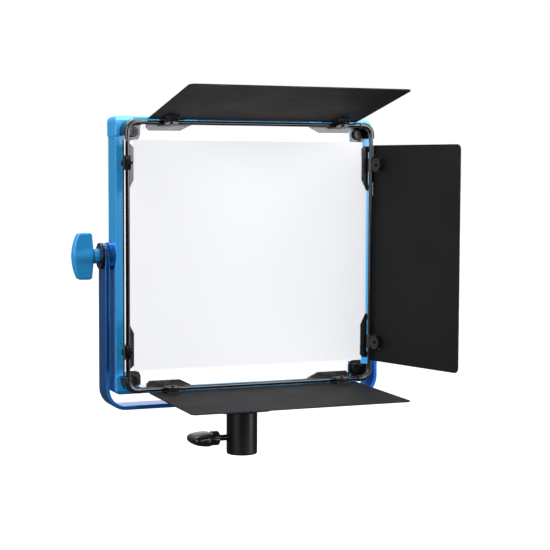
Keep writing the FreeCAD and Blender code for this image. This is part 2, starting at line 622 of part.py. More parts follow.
def battery_plates():
    """Two camcorder-battery plates: base, two hooked side rails and a terminal end."""
    low, high = BATTERY_Z
    middle = (low + high) / 2
    base = shifted(rounded_plate(BATTERY_PLATE_HALF, (high - low) / 2, 3.0, 4.0), z=middle)
    rails = []
    for side in (-1, 1):
        post = box(side * 19.0 - 1.2, side * 19.0 + 1.2, 3.9, 8.0, low + 6, high - 16)
        hook = box(min(side * 16.2, side * 20.2), max(side * 16.2, side * 20.2), 6.6, 8.0, low + 6, high - 16)
        rails += [post, hook]
    terminal = box(-11, 11, 3.9, 9.0, low + 2, low + 7)
    plate = fused([base, terminal] + rails)
    plate = plate.cut(box(-5.2, 5.2, -1, 6, high - 11.2, high - 4.8))
    return group(rear_place(plate, (side * BATTERY_X, 0.0)) for side in (-1, 1))


def battery_contacts():
    """Three spring blades in each plate's terminal end."""
    low = BATTERY_Z[0]
    return group(rear_place(box(x - 0.5, x + 0.5, 5.6, 6.8, low + 7, low + 13), (side * BATTERY_X, 0.0))
                 for side in (-1, 1) for x in (-6, 0, 6))


def battery_latch(side):
    """Sprung catch that stops the battery sliding off; pressed towards the housing."""
    middle = BATTERY_Z[1] - LATCH_BELOW_TOP
    half_x, half_z = LATCH_HALF
    catch = box(-half_x, half_x, -3.0, 6.4, middle - half_z, middle + half_z)
    slope = prism([(-6, 6.6, middle + 3.1), (-6, 4.6, middle + 3.1), (-6, 6.6, middle - 1.5)], X_AXIS, 12)
    pocket = cylinder((0, -3.1, middle), Y_AXIS, 2.7, LATCH_TRAVEL + 0.8)
    return rear_place(catch.cut(slope).cut(pocket), (side * BATTERY_X, 0.0))


def latch_springs():
    """Coil springs under the two catches."""
    springs = []
    for side in (-1, 1):
        helix = Part.makeHelix(1.6, 6.4, 2.0)
        ring = Part.Wire([Part.Circle(V(2.0, 0, 0), Y_AXIS, 0.3).toShape()])
        spring = Part.Wire(helix.Edges).makePipeShell([ring], True, True)
        spring = turned(spring, X_AXIS, -90)
        springs.append(rear_place(spring, (side * BATTERY_X, BATTERY_Z[1] - LATCH_BELOW_TOP), REAR_Y - 9.5))
    return group(springs)


def back_screw(x, z, seat, length):
    """Pan-head screw put in from the back."""
    head = soften(cylinder((x, seat, z), Y_AXIS, 2.8, 1.6), 0.6, lambda e: e.BoundBox.YMin > seat + 1.5)
    cross = fused([box(x - 1.5, x + 1.5, seat + 0.8, seat + 3, z - 0.3, z + 0.3),
                   box(x - 0.3, x + 0.3, seat + 0.8, seat + 3, z - 1.5, z + 1.5)])
    return fused([head, cylinder((x, seat - length, z), Y_AXIS, SCREW_R, length + 0.1)]).cut(cross)


def housing_screws():
    """Screws of the rear housing and the back plate, and the threaded posts inside the housing."""
    screws = [back_screw(x, z, REAR_Y, REAR_WALL + 6.0) for x, z in HOUSING_SCREWS]
    plate_screw_length = BACK_PLATE_THICK + PLATE_FLANGE[1] + 0.6
    screws += [back_screw(x, z, HEAD_HALF_Y, plate_screw_length) for x, z in PLATE_SCREWS]
    post_length = REAR_DEPTH - REAR_WALL
    posts = [cylinder((x, HEAD_HALF_Y, z), Y_AXIS, HOUSING_POST_R, post_length) for x, z in HOUSING_SCREWS]
    holes = [cylinder((x, REAR_Y - REAR_WALL - 7.0, z), Y_AXIS, SCREW_HOLE_R, 9.0) for x, z in HOUSING_SCREWS]
    return on_head(group(screws + [post.cut(hole) for post, hole in zip(posts, holes)]))


# ---- barn-door frame ------------------------------------------------------------------
def rod_frame():
    """Round rod bent into a square ring: four straight rods and four quarter rings."""
    k, h = ROD_HALF - ROD_BEND_R, ROD_HALF
    pieces = []
    for sign in (-1, 1):
        pieces.append(cylinder((-k, ROD_Y, sign * h), X_AXIS, ROD_R, 2 * k))
        pieces.append(cylinder((sign * h, ROD_Y, -k), Z_AXIS, ROD_R, 2 * k))
    section = Part.Face(Part.Wire([Part.Circle(V(h, ROD_Y, k), Z_AXIS, ROD_R).toShape()]))
    bend = section.revolve(V(k, ROD_Y, k), V(0, -1, 0), 90)
    pieces += four_corners(bend)
    return on_head(fused(pieces))


def corner_bracket():
    """Sheet bracket at +X +Z: a plate under the corner screw and a rim hooked over the rod."""
    inner, outer = ROD_R + RUNNING_GAP, ROD_R + RUNNING_GAP + 1.1
    plate_back = -HEAD_HALF_Y - CAP_PROUD
    plate_front = plate_back - 1.2
    k, h = ROD_HALF - ROD_BEND_R, ROD_HALF

    def rim_section(z):
        wall = Part.Face(Part.makePolygon([V(x, y, z) for x, y in (
            (h + inner, ROD_Y), (h + outer, ROD_Y), (h + outer, plate_back), (h + inner, plate_back),
            (h + inner, ROD_Y))]))
        hook = Part.Face(Part.Wire([Part.Circle(V(h, ROD_Y, z), Z_AXIS, outer).toShape()]))
        hook = hook.cut(Part.Face(Part.Wire([Part.Circle(V(h, ROD_Y, z), Z_AXIS, inner).toShape()])))
        front_half = Part.Face(Part.makePolygon([V(x, y, z) for x, y in (
            (h - 9, ROD_Y), (h + 9, ROD_Y), (h + 9, ROD_Y - 9), (h - 9, ROD_Y - 9), (h - 9, ROD_Y))]))
        return wall.fuse(hook.common(front_half)).removeSplitter()

    straight = rim_section(BRACKET_ARM_END).extrude(V(0, 0, k - BRACKET_ARM_END))
    bend = rim_section(k).revolve(V(k, ROD_Y, k), V(0, -1, 0), 90)
    across = turned(mirrored(straight, X_AXIS), Y_AXIS, 90)
    def upright(edge, low, high):
        span = edge.BoundBox
        return span.YLength > 1 and low < min(span.XMin, span.ZMin) and max(span.XMax, span.ZMax) < high

    plate = box(BRACKET_INNER, h + outer, plate_front, plate_back, BRACKET_INNER, h + outer)
    plate = soften(plate, ROD_BEND_R + outer - 0.05, lambda e: upright(e, h, h + 9))
    plate = soften(plate, 6.0, lambda e: upright(e, BRACKET_INNER - 1, BRACKET_INNER + 1))
    plate = plate.cut(box(h - 3, h + 9, plate_front - 1, plate_back + 1, 0, BRACKET_ARM_END))
    plate = plate.cut(box(0, BRACKET_ARM_END, plate_front - 1, plate_back + 1, h - 3, h + 9))
    bracket = fused([plate, straight, bend, across])
    screw_x, screw_z = CORNER_SCREW
    return bracket.cut(cylinder((screw_x, plate_front - 1, screw_z), Y_AXIS, 2.1, 4))


def corner_thumbscrew():
    """Knurled screw with a cross recess, through the bracket into the corner cap."""
    screw_x, screw_z = CORNER_SCREW
    seat = -HEAD_HALF_Y - CAP_PROUD - 1.2
    head = cylinder((screw_x, seat - 3.6, screw_z), Y_AXIS, 5.0, 3.6)
    head = soften(head, 0.8, lambda e: e.BoundBox.YMax < seat - 3.5)
    shank = cylinder((screw_x, seat - 0.1, screw_z), Y_AXIS, 1.95, 8.0)
    cross = fused([box(screw_x - 2.2, screw_x + 2.2, seat - 5, seat - 2.2, screw_z - 0.45, screw_z + 0.45),
                   box(screw_x - 0.45, screw_x + 0.45, seat - 5, seat - 2.2, screw_z - 2.2, screw_z + 2.2)])
    return fused([head, shank]).cut(cross)


def filter_clip():
    """Channel that grips the filter's edge, drawn on the right-hand rod's upper half."""
    low, high = CLIP_SPAN
    inner_x = ROD_HALF - CLIP_REACH
    web_x = FILTER_HALF_X + 0.1
    gap_back = CLIP_FRONT_Y + SHEET + FILTER_THICK

    def lip(front, tail):
        outline = [(web_x + SHEET, front, low), (web_x + SHEET, front, high), (inner_x + 3.0, front, high),
                   (inner_x, front, high - 3.0), (inner_x, front, low + tail), (web_x - 0.5, front, low)]
        return prism(outline, Y_AXIS, SHEET)

    front_lip = lip(CLIP_FRONT_Y, 11.0)
    back_lip = lip(gap_back, 11.0)
    web = box(web_x, web_x + SHEET, CLIP_FRONT_Y, gap_back + SHEET, low, high)
    feet = [box(web_x, web_x + SHEET, ROD_Y + 1.6, CLIP_FRONT_Y + 0.5, z, z + 6.0) for z in (low, high - 6.0)]
    return fused([front_lip, back_lip, web] + feet).cut(cylinder((ROD_HALF, ROD_Y, 0), Z_AXIS, ROD_R, 200))


def filter_clips():
    side = filter_clip()
    above = turned(mirrored(side, X_AXIS), Y_AXIS, 90)
    return on_head(group(four_corners(side) + four_corners(above)))


def diffusion_filter():
    """Sheet of white diffusion with its four corners cut back."""
    front = CLIP_FRONT_Y + SHEET
    low, high = FILTER_Z
    cut_x, cut_z = FILTER_NOTCH
    x, inner = FILTER_HALF_X, FILTER_HALF_X - cut_x
    upper, lower, slope = high - cut_z, low + cut_z, 8.0
    right = [(inner, low), (inner, lower), (x, lower + slope)]
    right += [(x, upper - slope), (inner, upper), (inner, high)]
    left = [(-u, v) for u, v in reversed(right)]
    return on_head(prism([(u, front, v) for u, v in right + left], Y_AXIS, FILTER_THICK))


# ---- doors ---------------------------------------------------------------------------
# A door is drawn on the right-hand rod: s runs out from the rod axis along the door,
# n is its outer side, and the hinge line runs along Z.
LEAF_N = ROD_R + RUNNING_GAP + 1.0


def from_door_frame(shape, name):
    """Drawn with s along -Y and n along +X about the hinge; opened, shifted and turned to its rod."""
    around, opening, shift = DOORS[name]
    placed = turned(shape, Z_AXIS, opening)
    placed = shifted(placed, x=ROD_HALF, y=ROD_Y, z=shift)
    return on_head(turned(placed, Y_AXIS, -around))


def door_leaf():
    """Flat sheet whose rear edge has tongues that close the gap to the rod between the clips' feet."""
    n0, n1 = LEAF_N, LEAF_N + SHEET
    sheet = box(n0, n1, -DOOR_REACH, DOOR_HEEL_BY_CLIPS, -DOOR_WIDE / 2, DOOR_WIDE / 2)
    leaf = fused([sheet] + [box(n0, n1, -1.0, DOOR_HEEL, z0, z1) for z0, z1 in DOOR_TONGUES])
    free_edge = 0.1 - DOOR_REACH
    half = SHEET / 2
    leaf = soften(leaf, DOOR_CORNER_R, lambda e: e.BoundBox.XLength > half and e.BoundBox.YMax < free_edge)
    leaf = soften(leaf, 0.8, lambda e: e.BoundBox.XLength > half and e.BoundBox.YMin > DOOR_HEEL - 0.1)
    holes = [cylinder((LEAF_N - 1, -DOOR_SCREW_S, z), X_AXIS, 1.6, 4) for z in (-STRAP_CENTRE, STRAP_CENTRE)]
    return leaf.cut(group(holes))


def hinge_strap():
    """Strap rolled round the rod, both ends lying under the leaf."""
    inner, outer = ROD_R + RUNNING_GAP, LEAF_N
    half = STRAP_WIDE / 2
    roll = tube((0, 0, -half), Z_AXIS, outer, inner, STRAP_WIDE)
    lower_top = inner - 0.3
    mouth = box(lower_top, outer + 1, -outer - 1, 0, -half - 1, half + 1)
    upper = box(inner, outer, -STRAP_LEG, 0, -half, half)
    lower = box(lower_top - SHEET, lower_top, -STRAP_LEG, -1.9, -half, half)
    lower = lower.cut(cylinder((0, 0, -half - 1), Z_AXIS, inner, STRAP_WIDE + 2))
    strap = fused([roll.cut(mouth), upper, lower])
    return strap.cut(cylinder((-9, -DOOR_SCREW_S, 0), X_AXIS, 1.6, 20))


def door_fasteners(z):
    """Pan-head screw through leaf and strap, and the round thumb nut on its inner end."""
    seat = LEAF_N + SHEET
    s = -DOOR_SCREW_S
    head = soften(cylinder((seat, s, z), X_AXIS, 2.8, 1.9), 0.8, lambda e: e.BoundBox.XMin > seat + 1.8)
    cross = fused([box(seat + 1.0, seat + 3, s - 1.6, s + 1.6, z - 0.35, z + 0.35),
                   box(seat + 1.0, seat + 3, s - 0.35, s + 0.35, z - 1.6, z + 1.6)])
    nut_top = ROD_R + RUNNING_GAP - 0.3 - SHEET
    stud_end = nut_top - THUMB_NUT_THICK - 1.5
    shank = cylinder((stud_end, s, z), X_AXIS, SCREW_R, seat - stud_end + 0.1)
    nut_low = nut_top - THUMB_NUT_THICK
    nut = tube((nut_low, s, z), X_AXIS, THUMB_NUT_R, SCREW_R + RUNNING_GAP, THUMB_NUT_THICK)
    notches = []
    for k in range(18):
        angle, ring = math.radians(20 * k), THUMB_NUT_R + 0.25
        centre = (nut_low - 1, s + ring * math.cos(angle), z + ring * math.sin(angle))
        notches.append(cylinder(centre, X_AXIS, 0.6, THUMB_NUT_THICK + 2))
    return [fused([head, shank]).cut(cross), nut.cut(group(notches))]


def door_nodes(name):
    straps = [shifted(hinge_strap(), z=z) for z in (-STRAP_CENTRE, STRAP_CENTRE)]
    fasteners = door_fasteners(-STRAP_CENTRE) + door_fasteners(STRAP_CENTRE)
    return {
        f"door_{name}_leaf": from_door_frame(door_leaf(), name),
        f"door_{name}_straps": from_door_frame(group(straps), name),
        f"door_{name}_fasteners": from_door_frame(group(fasteners), name),
    }


# ---- every node ------------------------------------------------------------------------
def nodes():
    rail, cap, profile = side_rail(), corner_cap(), edge_profile()
    out = {
        "stand_socket": stand_socket(),
        "yoke_pad": yoke_pad(),
        "yoke_bracket": yoke_bracket(),
        "socket_bolt": socket_bolt(),
        "knob_washers": knob_washers(),
        "friction_discs": friction_discs(),
        "lock_pad": lock_pad(),
        "lock_screw": lock_screw(),
        "lock_handle": lock_handle(),
        "knob_right": knob(),
        "knob_right_stud": knob_stud(),
        "knob_left": mirrored(knob(), X_AXIS),
        "knob_left_stud": mirrored(knob_stud(), X_AXIS),
        "right_rail": on_head(rail),
        "left_rail": on_head(mirrored(rail, X_AXIS)),
        "top_profile": on_head(profile),
        "bottom_profile": on_head(mirrored(profile, Z_AXIS)),
        "corner_caps": on_head(group(four_corners(cap))),
        "pivot_bosses": pivot_bosses(),
        "pivot_inserts": pivot_inserts(),
        "opal_cover": opal_cover(),
        "reflector_liner": reflector_liner(),
        "led_board": led_board(),
        "led_emitters": led_emitters(),
        "back_plate": back_plate(),
        "rear_housing": rear_housing(),
        "driver_board": driver_board(),
        "driver_parts": driver_parts(),
        "control_board": control_board(),
        "display_window": display_window(),
        "display_module": display_module(),
        "mode_button": mode_button(),
        "switch_body": switch_body(),
        "power_rocker": power_rocker(),
        "dc_inlet": dc_inlet(),
        "battery_plates": battery_plates(),
        "battery_contacts": battery_contacts(),
        "battery_latch_left": battery_latch(-1),
        "battery_latch_right": battery_latch(1),
        "latch_springs": latch_springs(),
        "housing_screws": housing_screws(),
        "rod_frame": rod_frame(),
        "corner_brackets": on_head(group(four_corners(corner_bracket()))),
        "corner_thumbscrews": on_head(group(four_corners(corner_thumbscrew()))),
        "filter_clips": filter_clips(),
        "diffusion_filter": diffusion_filter(),
    }
    for name, centre in DIAL_CENTRES.items():
        out[name] = rear_place(dial(), centre)
    for name in DOORS:
        out.update(door_nodes(name))
    return out


def main():
    os.makedirs("parts", exist_ok=True)
    for name, shape in nodes().items():
        if not shape.isValid():
            print("not valid:", name)
        shape.exportStep(f"parts/{name}.step")


main()
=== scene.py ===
"""Looks of the LED panel light: materials, moulded pieces, studio light and camera.

Metres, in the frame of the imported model: X to the right seen from the lit side,
the light shines towards -Y, Z up, origin at the mouth of the stand socket.
"""
import math

import bpy
import bmesh
from mathutils import Matrix, Vector


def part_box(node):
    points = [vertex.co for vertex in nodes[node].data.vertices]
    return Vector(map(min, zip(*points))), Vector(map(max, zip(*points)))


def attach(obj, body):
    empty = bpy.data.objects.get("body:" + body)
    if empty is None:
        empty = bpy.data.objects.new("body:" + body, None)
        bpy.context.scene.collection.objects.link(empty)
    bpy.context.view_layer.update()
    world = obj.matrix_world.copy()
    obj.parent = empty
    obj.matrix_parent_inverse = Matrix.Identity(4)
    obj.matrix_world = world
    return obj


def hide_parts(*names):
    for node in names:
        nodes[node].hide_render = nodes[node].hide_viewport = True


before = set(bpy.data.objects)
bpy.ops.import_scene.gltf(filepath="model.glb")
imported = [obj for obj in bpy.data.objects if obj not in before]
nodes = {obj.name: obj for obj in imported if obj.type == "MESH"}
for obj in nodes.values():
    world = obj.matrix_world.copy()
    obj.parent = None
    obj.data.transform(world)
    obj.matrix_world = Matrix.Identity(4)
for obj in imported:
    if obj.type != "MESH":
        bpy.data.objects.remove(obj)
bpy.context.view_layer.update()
MM = 0.001

DOORS = ("top", "bottom", "right", "left")
head_low, head_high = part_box("rod_frame")
PIVOT = Vector((0, 0, (head_low.z + head_high.z) / 2))

WHITE = (1, 1, 1, 1)
EVEN = (1, 1, 1)                  # stretch of a noise that has no direction
ALONG_X = (0.05, 1, 1)            # stretches of the drawn lines on extruded profiles
ALONG_Z = (1, 1, 0.05)


# ---- node helpers --------------------------------------------------------------
MIX_COLOUR_A, MIX_COLOUR_B, MIX_COLOUR_OUT = 6, 7, 2    # colour sockets of a Mix node
EDGE_SAMPLES = 4
EDGE_FLAT, EDGE_SHARP = 0.995, 0.75    # cosines between true and bevelled normal


class Nodes:
    """Short calls for building one material's node tree."""

    def __init__(self, name):
        self.material = bpy.data.materials.new(name)
        self.material.use_nodes = True
        self.tree = self.material.node_tree
        self.shader = self.tree.nodes["Principled BSDF"]

    def add(self, kind, **inputs):
        node = self.tree.nodes.new(kind)
        for name, value in inputs.items():
            self.feed(node.inputs[name.replace("_", " ")], value)
        return node

    def feed(self, socket, value):
        if isinstance(value, bpy.types.NodeSocket):
            self.tree.links.new(value, socket)
        else:
            socket.default_value = value

    def surface(self, **inputs):
        """Values or links for the shader's sockets."""
        for name, value in inputs.items():
            self.feed(self.shader.inputs[name.replace("_", " ")], value)

    def noise(self, scale, detail=3.0, rough=0.5, stretch=EVEN):
        where = self.add("ShaderNodeTexCoord").outputs["Object"]
        mapping = self.add("ShaderNodeMapping", Vector=where, Scale=stretch)
        noise = self.add("ShaderNodeTexNoise", Vector=mapping.outputs["Vector"], Scale=scale,
                         Detail=detail, Roughness=rough)
        return noise.outputs["Fac"]

    def remap(self, value, low, high, to_low, to_high):
        node = self.tree.nodes.new("ShaderNodeMapRange")
        for index, item in enumerate((value, low, high, to_low, to_high)):
            self.feed(node.inputs[index], item)
        return node.outputs[0]

    def around(self, noise, middle, spread):
        """A noise moved to run from middle - spread to middle + spread."""
        return self.remap(noise, NOISE_LOW, NOISE_HIGH, middle - spread, middle + spread)

    def math(self, operation, a, b):
        node = self.tree.nodes.new("ShaderNodeMath")
        node.operation = operation
        self.feed(node.inputs[0], a)
        self.feed(node.inputs[1], b)
        return node.outputs[0]

    def mix(self, factor, colour_a, colour_b):
        node = self.tree.nodes.new("ShaderNodeMix")
        node.data_type = "RGBA"
        self.feed(node.inputs["Factor"], factor)
        self.feed(node.inputs[MIX_COLOUR_A], colour_a)
        self.feed(node.inputs[MIX_COLOUR_B], colour_b)
        return node.outputs[MIX_COLOUR_OUT]

    def bump(self, height, depth):
        node = self.add("ShaderNodeBump", Strength=1.0, Distance=depth, Height=height)
        return node.outputs["Normal"]

    def edge(self, radius):
        """1 along convex and concave edges, 0 on open faces."""
        bevel = self.add("ShaderNodeBevel", Radius=radius)
        bevel.samples = EDGE_SAMPLES
        normal = self.add("ShaderNodeNewGeometry").outputs["Normal"]
        dot = self.tree.nodes.new("ShaderNodeVectorMath")
        dot.operation = "DOT_PRODUCT"
        self.feed(dot.inputs[0], bevel.outputs["Normal"])
        self.feed(dot.inputs[1], normal)
        return self.remap(dot.outputs["Value"], EDGE_FLAT, EDGE_SHARP, 0.0, 1.0)


def rgb(r, g, b):
    """8-bit sRGB colour as a linear one."""
    def linear(value):
        value /= 255.0
        return value / 12.92 if value <= 0.04045 else ((value + 0.055) / 1.055) ** 2.4
    return linear(r), linear(g), linear(b), 1.0


def scaled(colour, factor):
    return tuple(min(1.0, c * factor) for c in colour[:3]) + (1.0,)


# ---- kinds of material: each gives its name and the material ----------------------
NOISE_LOW, NOISE_HIGH = 0.3, 0.7  # nearly all of a noise's values lie between these
GRAIN_FROM, GRAIN_TO = 0.35, 0.65 # where the grain's colour starts and is full
GRAIN_BRIGHTER = 1.35             # colour of the lightest grains, against the base
GRAIN_GLOSS = 0.02                # how far the grain moves the roughness
WEAR_SCALE, SMUDGE_SCALE = 60.0, 28.0
WORN_FROM, WORN_TO, WORN_MOST = 0.48, 0.62, 0.55    # of the wear noise, and the mix there
COAT_ROUGHNESS = 0.12
GLOW_SPREAD, METAL_SPREAD = 0.05, 0.08    # either way, of the roughness
SHEET_SPECULAR = 0.25
TRACK_SCALE, TRACK_GAP, TRACK_SHOWS = 90.0, 0.03, 0.4


def coated(name, colour, roughness, patch=0.08, patch_scale=9.0, grain_scale=900.0,
           grain_depth=0.00003, stretch=EVEN, metallic=0.0, specular=0.5, coat=0.0,
           wear=None, wear_radius=0.0005, rough_spread=0.10):
    """Paint, powder coat, anodising or moulded plastic.

    Patchy colour, uneven gloss, fine relief and, where wear is a colour, rubbed edges.
    """
    n = Nodes(name)
    patches = n.noise(patch_scale, detail=4.0, rough=0.55)
    grain = n.noise(grain_scale, rough=0.6, stretch=stretch)
    base = n.mix(patches, scaled(colour, 1.0 - patch), scaled(colour, 1.0 + patch))
    base = n.mix(n.remap(grain, GRAIN_FROM, GRAIN_TO, 0.0, patch), base,
                 scaled(colour, GRAIN_BRIGHTER))
    if wear is not None:
        chance = n.remap(n.noise(WEAR_SCALE, detail=5.0, rough=0.65), WORN_FROM, WORN_TO,
                         0.0, WORN_MOST)
        base = n.mix(n.math("MULTIPLY", n.edge(wear_radius), chance), base, wear)
    smudges = n.around(n.noise(SMUDGE_SCALE, detail=5.0, rough=0.6), roughness, rough_spread / 2)
    gloss = n.math("ADD", smudges, n.around(grain, 0.0, GRAIN_GLOSS))
    n.surface(Base_Color=base, Roughness=gloss, Normal=n.bump(grain, grain_depth),
              Metallic=metallic, Specular_IOR_Level=specular, Coat_Weight=coat,
              Coat_Roughness=COAT_ROUGHNESS)
    return name, n.material


def glowing_white(name, colour, roughness, light, glow, grain_scale, grain_depth):
    """White light-passing sheet, softly lit from behind."""
    n = Nodes(name)
    cloud = n.noise(5.0)
    grain = n.noise(grain_scale, detail=2.0)
    n.surface(Base_Color=n.mix(cloud, scaled(colour, 0.985), colour),
              Roughness=n.around(grain, roughness, GLOW_SPREAD),
              Normal=n.bump(grain, grain_depth),
              Emission_Color=n.mix(cloud, scaled(light, 0.99), light),
              Emission_Strength=glow, Specular_IOR_Level=SHEET_SPECULAR)
    return name, n.material


def bare_metal(name, colour, roughness):
    """Turned or stamped metal: fine tool lines and faint stains."""
    n = Nodes(name)
    lines = n.noise(1400.0, rough=0.6)
    stain = n.noise(30.0, detail=4.0, rough=0.6)
    n.surface(Base_Color=n.mix(stain, scaled(colour, 0.86), scaled(colour, 1.08)),
              Roughness=n.around(lines, roughness, METAL_SPREAD),
              Normal=n.bump(lines, 0.00001), Metallic=1.0)
    return name, n.material


def board(name, colour):
    """Circuit board: solder mask over faint copper tracks."""
    n = Nodes(name)
    where = n.add("ShaderNodeTexCoord").outputs["Object"]
    tracks = n.add("ShaderNodeTexBrick", Vector=where, Scale=TRACK_SCALE, Mortar_Size=TRACK_GAP)
    tracks = tracks.outputs["Fac"]
    n.surface(Base_Color=n.mix(n.math("MULTIPLY", tracks, TRACK_SHOWS), colour,
                               scaled(colour, 1.9)),
              Roughness=n.around(n.noise(300.0), 0.36, 0.06),
              Normal=n.bump(tracks, 0.00004))
    return name, n.material


# ---- the light's materials ----------------------------------------------------------
AZURE = rgb(40, 162, 228)         # anodised head
DEEP_BLUE = rgb(42, 128, 222)     # anodised yoke
RUBBED_BLUE = rgb(150, 170, 190)
RUBBED_BLACK = rgb(120, 120, 120)


def make_materials():
    """The finishes by name."""
    extruded = dict(patch=0.05, grain_scale=1500.0, grain_depth=0.000012, wear=RUBBED_BLUE,
                    wear_radius=0.0004, coat=0.25)
    return dict([
        coated("rail_blue", AZURE, 0.33, stretch=ALONG_Z, **extruded),
        coated("profile_blue", AZURE, 0.33, stretch=ALONG_X, **extruded),
        coated("yoke_blue", DEEP_BLUE, 0.30, patch=0.06, grain_scale=1300.0, grain_depth=0.00001,
               metallic=0.85, wear=RUBBED_BLUE, wear_radius=0.0005, coat=0.3),
        coated("blue_plastic", rgb(52, 170, 240), 0.33, patch=0.04, grain_scale=1100.0,
               grain_depth=0.00002, coat=0.15),
        coated("socket_black", rgb(15, 15, 16), 0.38, patch=0.10, grain_scale=900.0,
               grain_depth=0.00002, wear=RUBBED_BLACK, wear_radius=0.0005),
        coated("black_metal", rgb(22, 22, 24), 0.34, patch=0.10, grain_scale=1100.0,
               grain_depth=0.000015, wear=RUBBED_BLACK, wear_radius=0.0004),
        coated("gunmetal", rgb(76, 76, 78), 0.23, patch=0.08, grain_scale=1300.0, metallic=0.85,
               grain_depth=0.000012, wear=rgb(190, 190, 190), wear_radius=0.0003),
        coated("door_black", rgb(30, 30, 31), 0.68, patch=0.07, patch_scale=6.0, grain_scale=1000.0,
               grain_depth=0.00004, specular=0.14, wear=rgb(130, 130, 130), wear_radius=0.0006),
        coated("rod_black", rgb(14, 14, 15), 0.16, patch=0.08, grain_scale=700.0,
               grain_depth=0.000008, coat=0.5, wear=rgb(120, 116, 110), wear_radius=0.0004),
        coated("black_plastic", rgb(24, 24, 26), 0.40, patch=0.08, grain_scale=1600.0,
               grain_depth=0.00003),
        coated("handle_black", rgb(15, 15, 16), 0.34, patch=0.08, grain_scale=500.0,
               grain_depth=0.00001, coat=0.3),
        coated("rubber", rgb(26, 26, 28), 0.62, patch=0.10, grain_scale=1200.0,
               grain_depth=0.00004),
        coated("black_screw", rgb(20, 20, 21), 0.28, patch=0.12, grain_scale=900.0, metallic=0.4,
               grain_depth=0.000015, wear=rgb(150, 150, 150), wear_radius=0.0003),
        coated("component_black", rgb(34, 34, 36), 0.45, patch=0.1, grain_scale=900.0),
        coated("window", rgb(9, 10, 12), 0.07, patch=0.03, grain_scale=60.0, grain_depth=0.000002,
               coat=0.6, rough_spread=0.04),
        coated("display", rgb(70, 84, 78), 0.3, patch=0.03, grain_scale=500.0),
        coated("white_board", rgb(236, 236, 236), 0.4, patch=0.02, grain_scale=400.0),
        coated("led_yellow", rgb(238, 214, 96), 0.35, patch=0.03, grain_scale=800.0),
        board("green_board", rgb(26, 92, 58)),
        bare_metal("bare_steel", rgb(190, 190, 194), 0.3),
        bare_metal("brass", rgb(206, 172, 96), 0.34),
        bare_metal("contact_gold", rgb(226, 190, 112), 0.26),
        glowing_white("opal", (0.5, 0.5, 0.51, 1), 0.45, light=WHITE, glow=0.70,
                      grain_scale=700.0, grain_depth=0.00001),
        glowing_white("filter_white", (0.38, 0.38, 0.385, 1), 0.6, light=(0.955, 0.965, 1.0, 1),
                      glow=0.59, grain_scale=1600.0, grain_depth=0.00002),
        glowing_white("lit_bars", (0.3, 0.42, 0.5, 1), 0.4, light=(0.55, 0.85, 1.0, 1),
                      glow=0.8, grain_scale=900.0, grain_depth=0.00001),
    ])


NODE_FINISH = {
    "rail_blue": ["right_rail", "left_rail"],
    "profile_blue": ["top_profile", "bottom_profile"],
    "yoke_blue": ["yoke_bracket", "yoke_pad", "pivot_bosses"],
    "blue_plastic": ["corner_caps", "knob_right", "knob_left"],
    "black_metal": ["back_plate"],
    "socket_black": ["stand_socket"],
    "gunmetal": ["corner_brackets", "filter_clips"] + [f"door_{d}_straps" for d in DOORS],
    "door_black": [f"door_{d}_leaf" for d in DOORS],
    "rod_black": ["rod_frame"],
    "black_plastic": ["rear_housing", "battery_plates", "battery_latch_left",
                      "battery_latch_right", "mode_button", "switch_body", "power_rocker"],
    "handle_black": ["lock_handle", "knob_washers"],
    "rubber": ["brightness_dial", "colour_dial", "friction_discs"],
    "black_screw": ["socket_bolt", "lock_screw", "housing_screws", "corner_thumbscrews"]
                   + [f"door_{d}_fasteners" for d in DOORS],
    "bare_steel": ["knob_right_stud", "knob_left_stud", "pivot_inserts", "latch_springs"],
    "brass": ["lock_pad"],
    "contact_gold": ["battery_contacts"],
    "opal": ["opal_cover"],
    "filter_white": ["diffusion_filter"],
    "white_board": ["reflector_liner", "led_board"],
    "led_yellow": ["led_emitters"],
    "green_board": ["driver_board", "control_board"],
    "component_black": ["driver_parts", "dc_inlet"],
    "window": ["display_window"],
    "display": ["display_module"],
}


def dress_nodes(materials):
    for finish, names in NODE_FINISH.items():
        for name in names:
            data = nodes[name].data
            data.materials.clear()
            data.materials.append(materials[finish])


# ---- mesh helpers ----------------------------------------------------------------
def piece_from(name, bm, material, body, smooth_angle):
    """New object from a bmesh, smooth except at sharp edges, riding on a body."""
    bmesh.ops.remove_doubles(bm, verts=bm.verts, dist=1e-7)
    bmesh.ops.recalc_face_normals(bm, faces=bm.faces)
    mesh = bpy.data.meshes.new(name)
    bm.to_mesh(mesh)
    bm.free()
    mesh.materials.append(material)
    mesh.shade_smooth()
    mesh.set_sharp_from_angle(angle=math.radians(smooth_angle))
    piece = bpy.data.objects.new(name, mesh)
    bpy.context.scene.collection.objects.link(piece)
    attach(piece, body)
    return piece


def skin(bm, rings):
    """Quads between successive closed rings of points; flat faces on the two ends."""
    made = [[bm.verts.new(p) for p in ring] for ring in rings]
    count = len(made[0])
    for first, second in zip(made, made[1:]):
        for k in range(count):
            bm.faces.new((first[k], first[(k + 1) % count], second[(k + 1) % count], second[k]))
    bm.faces.new(made[0])
    bm.faces.new(made[-1])


def lathe(bm, profile, origin, direction, segments, rib=None):
    """Turned solid: profile is (distance along the axis, radius) in mm from end to end.

    rib(k), in mm, is taken off the radius at step k round the axis.
    """
    turn = Vector(direction).to_track_quat("Z", "Y").to_matrix().to_4x4()
    place = Matrix.Translation(origin) @ turn
    rings = []
    for along, radius in profile:
        ring = []
        for k in range(segments):
            angle = 2 * math.pi * k / segments
            r = (radius - (rib(k) if rib else 0.0)) * MM
            ring.append(place @ Vector((r * math.cos(angle), r * math.sin(angle), along * MM)))
        rings.append(ring)
    skin(bm, rings)


